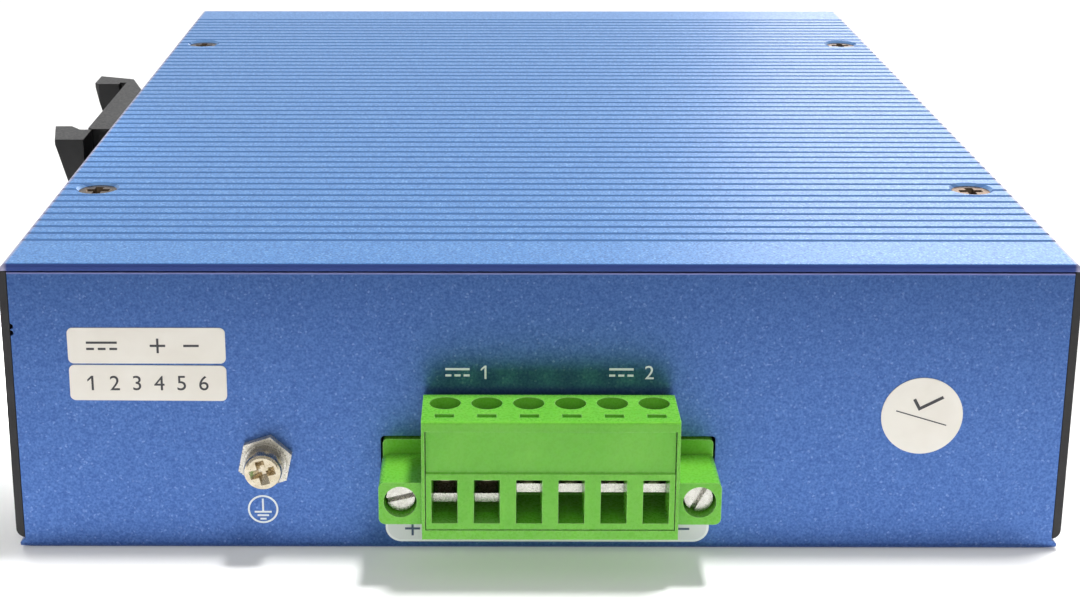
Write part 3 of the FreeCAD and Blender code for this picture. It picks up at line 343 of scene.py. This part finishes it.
def bright_metal(name, colours, rough, metal=1.0):
    """Metal, turned or stamped, bare or coated: soft streaks in its shine, cloudy below full metal."""
    return surface(name, colours, tone_size=0.8, rough=rough, grain_size=0.25, grain_depth=0.004,
                   fixed={"Metallic": metal}, edge=0.05)


def black_nylon():
    """Glass-filled nylon, moulded: satin black with a faint mottled skin."""
    return surface("black_nylon", ("#101011", "#1A1A1B"), tone_size=3.0, rough=(0.3, 0.44),
                   grain_size=MOULD_GRAIN, grain_depth=0.015, fixed={"Specular IOR Level": 0.3}, edge=0.15)


def green_plastic():
    """Polyester, moulded from a polished tool: an even satin green that lets a little light in, with a
    painted highlight on its softened edges.
    """
    soft = {"Subsurface Weight": 0.35, "Subsurface Radius": millimetres(*GREEN_LIGHT_DEPTH),
            "Specular IOR Level": 0.45}
    return surface("green_polyester", ("#69B834", "#71BE3C"), tone_size=6.0, rough=(0.24, 0.32),
                   grain_size=MOULD_GRAIN, grain_depth=0.004, fixed=soft, edge=0.15, edge_highlight_tone="#A8DC86")


def film(name, colours):
    """Polyester film or print: matt, very slightly uneven."""
    return surface(name, colours, tone_size=5.0, rough=(0.45, 0.55), grain_size=0.6, grain_depth=0.004)


def plain_body(name, colours, rough):
    """A moulded, cast, sintered or lacquered body: a faint grain and no more shine than it is given."""
    return surface(name, colours, tone_size=2.0, rough=rough, grain_size=MOULD_GRAIN, grain_depth=0.01,
                   edge=0.08)


def clear_plastic():
    """Clear acrylic moulding: nearly all light goes through."""
    return surface("clear_acrylic", ("#F2F6F6", "#FAFCFC"), tone_size=6.0, rough=(0.08, 0.14),
                   grain_size=0.6, grain_depth=0.002, fixed={"Transmission Weight": 0.9, "IOR": 1.49})


def slot_materials():
    return {
        "blue_aluminium": blue_wall(),
        "black_coat": black_coat(),
        # Nickel plate on steel, tumbled: a bright grey with a touch of yellow
        "nickel_steel": bright_metal("nickel_plated_steel", ("#C9C6BE", "#DAD7D0"), (0.2, 0.34)),
        # Nickel plate on turned brass: as bright, and warmer
        "nickel_brass": bright_metal("nickel_plated_brass", ("#CDBFA4", "#DDD2BD"), (0.18, 0.3)),
        # Drawn spring wire: a darker and duller grey
        "spring_steel": bright_metal("spring_steel", ("#A9A49B", "#BDB8AE"), (0.25, 0.38)),
        "black_nylon": black_nylon(),
        "green_plastic": green_plastic(),
        # Tin plate on stamped brass: pale, warm and soft
        "tinned_brass": bright_metal("tinned_brass", ("#BDB29B", "#D3CAB4"), (0.25, 0.4)),
        # Bare turned brass: yellow, with a soft shine
        "brass": bright_metal("turned_brass", ("#C5A35A", "#D4B56E"), (0.25, 0.38)),
        # Polyester label film, coated for print: a warm matt white
        "white_sticker": film("white_film", ("#ECE6DB", "#F1ECE2")),
        # Solder mask, a cured lacquer: deep green with a soft gloss
        "circuit_board": plain_body("solder_mask", ("#12402A", "#175036"), (0.3, 0.42)),
        # Polyester, moulded: black and nearly matt
        "black_socket_plastic": plain_body("socket_polyester", ("#151515", "#1D1D1D"), (0.4, 0.55)),
        # Tin-plated sheet, stamped: a cool light grey
        "tin_plate": bright_metal("tin_plated_sheet", ("#C4C4C2", "#D3D3D1"), (0.22, 0.36)),
        # Gold flash on the contacts: bright yellow
        "gold_contact": bright_metal("gold_flash", ("#D9AE5A", "#E8C171"), (0.18, 0.3)),
        "clear_plastic": clear_plastic(),
        # Epoxy of a chip's package, moulded: matt charcoal
        "black_epoxy": plain_body("moulded_epoxy", ("#161617", "#202021"), (0.5, 0.65)),
        # Silicone pad, cast: dull grey
        "grey_silicone": plain_body("silicone_pad", ("#8C9198", "#989DA3"), (0.6, 0.75)),
        # Aluminium sink, anodised black: dark with a metal's sheen
        "black_aluminium": bright_metal("black_anodised_sink", ("#1C1C1D", "#262627"), (0.4, 0.55)),
        # Ferrite, sintered: a dry dark grey
        "ferrite": plain_body("sintered_ferrite", ("#2B2B2D", "#363638"), (0.6, 0.75)),
        # Sleeve shrunk over a can: dark blue-grey with a soft gloss
        "capacitor_can": plain_body("sleeved_can", ("#23262F", "#2C303A"), (0.3, 0.42)),
    }


def dress(name, material):
    slots = nodes[name].data.materials
    slots.clear()
    slots.append(material)


def dress_nodes(materials):
    """Give each node its slot's material, and three nodes a finish of their own."""
    for row in frame["record"]["subparts"]:
        dress(row["node"], materials[row["material_slot"]])
    dress("top_cover", blue_cover())
    # Steel drawn dark brown with a soft shine: painted shade, as if the heads sat deeper in their
    # countersinks
    dress("cover_screws", bright_metal("cover_screw_painted_shade", ("#5A4A3C", "#75634F"), (0.2, 0.34)))
    # Nickel plate that has clouded: pale, and half mirror-like
    dress("earth_nut", bright_metal("cloudy_nickel_nut", ("#CFCABF", "#E2DED4"), (0.24, 0.38), metal=0.7))


# Labels and print, drawn as outlines of (X, Z) points on the terminal wall

def bar(left, right, low, high):
    return [(left, low), (right, low), (right, high), (left, high)]


def plus_sign(x, z, size):
    half = size / 2
    thin = STROKE / 2
    return [(x - half, z - thin), (x - thin, z - thin), (x - thin, z - half), (x + thin, z - half),
            (x + thin, z - thin), (x + half, z - thin), (x + half, z + thin), (x + thin, z + thin),
            (x + thin, z + half), (x - thin, z + half), (x - thin, z + thin), (x - half, z + thin)]


def minus_sign(x, z, size):
    return bar(x - size / 2, x + size / 2, z - STROKE / 2, z + STROKE / 2)


def supply_sign(x, z, length):
    """Direct current: a line over three dashes, which have gaps of half a dash."""
    low = z - SUPPLY_SIGN_GAP
    high = z + SUPPLY_SIGN_GAP
    outlines = [bar(x - length / 2, x + length / 2, high - STROKE, high)]
    dash = length / 4
    for index in range(3):
        start = x - length / 2 + index * dash * 1.5
        outlines.append(bar(start, start + dash, low, low + STROKE))
    return outlines


def earth_sign(x, z):
    """Protective earth, without its ring: a stem over three bars that get shorter."""
    line = EARTH_SIGN_LINE
    step = 2 * line
    top_bar = z - line
    outlines = [bar(x - line / 2, x + line / 2, top_bar, z + EARTH_SIGN_RADIUS - 2 * line)]
    for index, share in enumerate(EARTH_BAR_SHARES):
        half = EARTH_SIGN_RADIUS * share
        low = top_bar - line - index * step
        outlines.append(bar(x - half, x + half, low, low + line))
    return outlines


def tilted(outline, centre, angle):
    """Turn an outline clockwise round a point, in degrees."""
    turn = Matrix.Rotation(math.radians(-angle), 2)
    middle = Vector(centre)
    return [tuple(middle + turn @ (Vector(point) - middle)) for point in outline]


def add_piece(name, shape, material):
    """Close the seams of a bmesh and make it a piece that rides on the case."""
    bmesh.ops.remove_doubles(shape, verts=shape.verts[:], dist=SEAM * MM)
    bmesh.ops.recalc_face_normals(shape, faces=shape.faces[:])
    mesh = bpy.data.meshes.new(name)
    shape.to_mesh(mesh)
    shape.free()
    mesh.materials.append(material)
    piece = bpy.data.objects.new(name, mesh)
    scene.collection.objects.link(piece)
    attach(piece, "case")


def raise_outlines(shape, outlines, face_y):
    """Add outlines to a bmesh as flat printed solids that stand on a face."""
    patches = []
    for outline in outlines:
        corners = [shape.verts.new(millimetres(x, face_y, z)) for x, z in outline]
        patches.append(shape.faces.new(corners))
    made = bmesh.ops.extrude_face_region(shape, geom=patches)
    moved = [vertex for vertex in made["geom"] if isinstance(vertex, bmesh.types.BMVert)]
    bmesh.ops.translate(shape, verts=moved, vec=millimetres(0, -INK, 0))


def raise_ring(shape, x, z, radius, line, face_y):
    """Add a printed ring to a bmesh: its section, spun once round."""
    section = []
    for reach, depth in ((radius, 0), (radius, INK), (radius - line, INK), (radius - line, 0)):
        section.append(shape.verts.new(millimetres(x + reach, face_y - depth, z)))
    sides = [shape.edges.new((section[index - 1], section[index])) for index in range(len(section))]
    bmesh.ops.spin(shape, geom=section + sides, cent=millimetres(x, face_y, z), axis=(0, 1, 0),
                   angle=math.radians(360), steps=RING_STEPS, use_merge=True)


def make_film(name, sides, corner, face_y, thickness, material):
    """A film with rounded corners on the wall; sides are left, right, low and high."""
    left, right, low, high = sides
    size = millimetres(right - left, thickness, high - low)
    place = millimetres((left + right) / 2, face_y - thickness / 2, (low + high) / 2)
    shape = bmesh.new()
    bmesh.ops.create_cube(shape, size=1, matrix=Matrix.LocRotScale(place, None, size))
    through = [edge for edge in shape.edges if edge.verts[0].co.xz == edge.verts[1].co.xz]
    bmesh.ops.bevel(shape, geom=through, offset=corner * MM, affect="EDGES", segments=CORNER_STEPS,
                    profile=0.5, material=-1)
    add_piece(name, shape, material)


def raise_numeral(shape, numeral, size, x, z, face_y):
    """Add a numeral of this height to a bmesh, standing on a face; it is drawn one thick, then scaled."""
    curve = bpy.data.curves.new("numeral", "FONT")
    curve.body = numeral
    curve.extrude = 0.5
    holder = bpy.data.objects.new("numeral", curve)
    scene.collection.objects.link(holder)
    drawn = holder.evaluated_get(bpy.context.evaluated_depsgraph_get())
    mesh = bpy.data.meshes.new_from_object(drawn)
    bpy.data.objects.remove(holder)
    low = Vector([min(vertex.co[axis] for vertex in mesh.vertices) for axis in range(3)])
    high = Vector([max(vertex.co[axis] for vertex in mesh.vertices) for axis in range(3)])
    scale = size / (high.y - low.y)
    mesh.transform(Matrix.Translation(-(low + high) / 2))
    mesh.transform(Matrix.Diagonal((scale * MM, scale * MM, INK * MM, 1)))
    mesh.transform(Matrix.Rotation(math.radians(90), 4, "X"))
    mesh.transform(Matrix.Translation(millimetres(x, face_y - INK / 2, z)))
    shape.from_mesh(mesh)
    bpy.data.meshes.remove(mesh)


def print_outlines(name, outlines, face_y, material):
    shape = bmesh.new()
    raise_outlines(shape, outlines, face_y)
    add_piece(name, shape, material)


def numeral_one(x, z, size):
    """A one with a flag, which the plain typeface lacks."""
    half = size / 2
    thin = size * NUMERAL_STEM_SHARE / 2
    flag = size * NUMERAL_FLAG_SHARE
    notch = size * NUMERAL_NOTCH_SHARE
    return [(x - thin, z - half), (x + thin, z - half), (x + thin, z + half), (x - thin, z + half),
            (x - thin - flag, z + half - flag), (x - thin - flag, z + half - flag - 2 * thin),
            (x - thin, z + half - notch)]


def print_numerals(name, numerals, size, z, face_y, material):
    """Print numerals at X places along one line."""
    shape = bmesh.new()
    for numeral, x in numerals:
        if numeral == "1":
            raise_outlines(shape, [numeral_one(x, z, size)], face_y)
        else:
            raise_numeral(shape, numeral, size, x, z, face_y)
    add_piece(name, shape, material)


def make_label_band(wall, grey_film, white, ink):
    """Label under the plug: pole numbers and signs on a grey film with a white border."""
    low, high = node_box("terminal_header")
    left = low.x + BAND_SIDE
    right = high.x - BAND_SIDE
    top = BAND_RAISE + BAND_HEIGHT
    make_film("label_band_border", (left, right, BAND_RAISE, top), BAND_CORNER, wall, FILM, white)
    inner = (left + BAND_BORDER, right - BAND_BORDER, BAND_RAISE + BAND_BORDER, top - BAND_BORDER)
    make_film("label_band", inner, BAND_CORNER - BAND_BORDER, wall - FILM, INK, grey_film)
    face = wall - FILM - INK
    poles = [(str(pole), middle_of("clamp_screw_%d" % pole).x) for pole in range(1, POLES + 1)]
    print_numerals("label_numerals", poles, BAND_MARK_HEIGHT, BAND_MARK_RAISE, face, ink)
    signs = [plus_sign(left + BAND_END_INSET, BAND_MARK_RAISE, BAND_MARK_HEIGHT),
             minus_sign(right - BAND_END_INSET, BAND_MARK_RAISE, BAND_MARK_HEIGHT)]
    print_outlines("label_signs", signs, face, ink)


def make_wall_print(wall, ink):
    """Supply signs with numerals over the plug and the earth sign under the earth screw."""
    plug_low, plug_high = node_box("plug_housing")
    z = plug_high.z + NUMERAL_RISE
    middle = (plug_low.x + plug_high.x) / 2
    numerals = []
    outlines = []
    for numeral, side in (("1", -1), ("2", 1)):
        x = middle + side * NUMERAL_SPREAD
        numerals.append((numeral, x + SUPPLY_SIGN_OFFSET))
        outlines += supply_sign(x - SUPPLY_SIGN_OFFSET / 2, z, SUPPLY_SIGN_LENGTH)
    print_numerals("supply_numerals", numerals, NUMERAL_HEIGHT, z, wall, ink)
    earth = middle_of("earth_nut")
    earth_x = earth.x + EARTH_SIGN_SHIFT
    earth_z = earth.z - EARTH_SIGN_DROP
    outlines += earth_sign(earth_x, earth_z)
    shape = bmesh.new()
    raise_outlines(shape, outlines, wall)
    raise_ring(shape, earth_x, earth_z, EARTH_SIGN_RADIUS, EARTH_SIGN_LINE, wall)
    add_piece("wall_signs", shape, ink)


def make_sticker_print(ink):
    """Supply sign and polarity on the upper sticker, pole numbers on the lower."""
    upper = middle_of("rating_sticker_upper")
    face = node_box("rating_sticker_upper")[0].y
    outlines = supply_sign(upper.x - 2 * STICKER_PITCH, upper.z, STICKER_SIGN_LENGTH)
    outlines.append(plus_sign(upper.x + STICKER_PITCH / 2, upper.z, STICKER_MARK))
    outlines.append(minus_sign(upper.x + 2 * STICKER_PITCH, upper.z, STICKER_MARK))
    print_outlines("upper_sticker_signs", outlines, face, ink)
    lower = middle_of("rating_sticker_lower")
    face = node_box("rating_sticker_lower")[0].y
    first_x = lower.x - (POLES - 1) / 2 * STICKER_PITCH
    numerals = [(str(index + 1), first_x + index * STICKER_PITCH) for index in range(POLES)]
    print_numerals("lower_sticker_numerals", numerals, STICKER_NUMERAL, lower.z, face, ink)


def make_round_print(ink):
    """A tick over a line of half the usual stroke, printed askew."""
    face = node_box("round_sticker")[0].y
    x, z = middle_of("round_sticker").xz
    long_arm = TICK_SPAN * TICK_LONG_SHARE
    short_arm = TICK_SPAN - long_arm
    foot = (x - TICK_SPAN / 2 + short_arm, z + TICK_STROKE)
    tick = [
        foot,
        (foot[0] + long_arm, foot[1] + long_arm),
        (foot[0] + long_arm - TICK_STROKE / 2, foot[1] + long_arm + TICK_STROKE / 2),
        (foot[0], foot[1] + TICK_STROKE),
        (foot[0] - short_arm + TICK_STROKE / 2, foot[1] + short_arm + TICK_STROKE / 2),
        (foot[0] - short_arm, foot[1] + short_arm),
    ]
    half = ROUND_LINE_LENGTH / 2
    line = bar(x - half, x + half, z - STROKE * 5 / 4, z - STROKE * 3 / 4)
    outlines = [tilted(outline, (x, z), ROUND_TILT) for outline in (tick, line)]
    print_outlines("round_sticker_tick", outlines, face, ink)


def make_print():
    """Lay screen-printed inks and label films on the wall and the stickers, all of them matt."""
    wall = node_box("base_channel")[0].y
    white_ink = film("white_ink", ("#E4EAEB", "#ECF1F1"))
    grey_ink = film("dark_grey_ink", ("#3E3D40", "#48474A"))
    blue_ink = film("blue_grey_ink", ("#41506E", "#4A5A78"))
    grey_film = film("grey_label_film", ("#E2E4E4", "#E9EAEA"))
    white_film = film("white_label_film", ("#F4F5F5", "#F8F9F9"))
    make_label_band(wall, grey_film, white_film, blue_ink)
    make_wall_print(wall, white_ink)
    make_sticker_print(grey_ink)
    make_round_print(grey_ink)


# Camera, light and floor

def make_camera():
    data = bpy.data.cameras.new("camera")
    data.sensor_width = SENSOR_WIDTH
    data.lens = FOCAL_PIXELS * SENSOR_WIDTH / PICTURE_WIDTH
    data.shift_x = (PICTURE_WIDTH / 2 - CENTRE_PIXEL[0]) / PICTURE_WIDTH
    data.shift_y = (CENTRE_PIXEL[1] - PICTURE_HEIGHT / 2) / PICTURE_WIDTH
    data.clip_start = CLIP_NEAR * MM
    data.clip_end = CLIP_FAR * MM
    camera = bpy.data.objects.new("camera", data)
    turn = Matrix.Rotation(math.radians(CAMERA_YAW), 4, "Z")
    tilt = Matrix.Rotation(math.radians(90 - CAMERA_PITCH), 4, "X")
    camera.matrix_world = Matrix.Translation(millimetres(*CAMERA_PLACE)) @ turn @ tilt
    scene.collection.objects.link(camera)
    scene.camera = camera


def make_world():
    """An even pale room."""
    world = bpy.data.worlds.new("studio")
    world.use_nodes = True
    tree = world.node_tree
    tree.nodes.clear()
    light = add(tree, "Background", None, {"Color": linear("#FFFFFF"), "Strength": SKY})
    add(tree, "OutputWorld", None, {"Surface": light.outputs[0]})
    scene.world = world


def make_stage(name, left, right, near, far, height, whiteness):
    """A matt flat staging surface."""
    shape = bmesh.new()
    corners = [(left, near), (right, near), (right, far), (left, far)]
    shape.faces.new([shape.verts.new(millimetres(x, y, height)) for x, y in corners])
    mesh = bpy.data.meshes.new(name)
    shape.to_mesh(mesh)
    shape.free()
    piece = bpy.data.objects.new(name, mesh)
    scene.collection.objects.link(piece)
    material = new_material(name + "_matt")
    tree = material.node_tree
    grey = [whiteness, whiteness, whiteness, 1.0]
    shader = add(tree, "BsdfDiffuse", None, {"Color": grey, "Roughness": STAGE_ROUGHNESS})
    add(tree, "OutputMaterial", None, {"Surface": shader.outputs[0]})
    mesh.materials.append(material)


def make_floor():
    """A white sheet under the part, on a dark table that starts in front of it."""
    make_stage("sheet", -SHEET_HALF_WIDTH, SHEET_HALF_WIDTH, SHEET_NEAR_EDGE, SHEET_FAR_EDGE, 0,
               SHEET_WHITENESS)
    reach = TABLE_HALF_WIDTH
    make_stage("table", -reach, reach, -reach, reach, -SHEET_THICKNESS, TABLE_GREY)


def make_lamp(name, place, target, size, watts, tint, spread, mirrored):
    """A soft rectangular lamp."""
    data = bpy.data.lights.new(name, "AREA")
    data.shape = "RECTANGLE"
    data.size, data.size_y = size
    data.energy = watts
    data.color = linear(tint)[:3]
    data.spread = math.radians(spread)
    lamp = bpy.data.objects.new(name, data)
    aim = (Vector(target) - Vector(place)).to_track_quat("-Z", "Y")
    lamp.matrix_world = Matrix.Translation(place) @ aim.to_matrix().to_4x4()
    lamp.visible_glossy = mirrored
    scene.collection.objects.link(lamp)


dress_nodes(slot_materials())
make_print()
make_camera()
make_world()
make_floor()
for lamp_row in LAMPS:
    make_lamp(*lamp_row)
scene.view_settings.view_transform = "Standard"
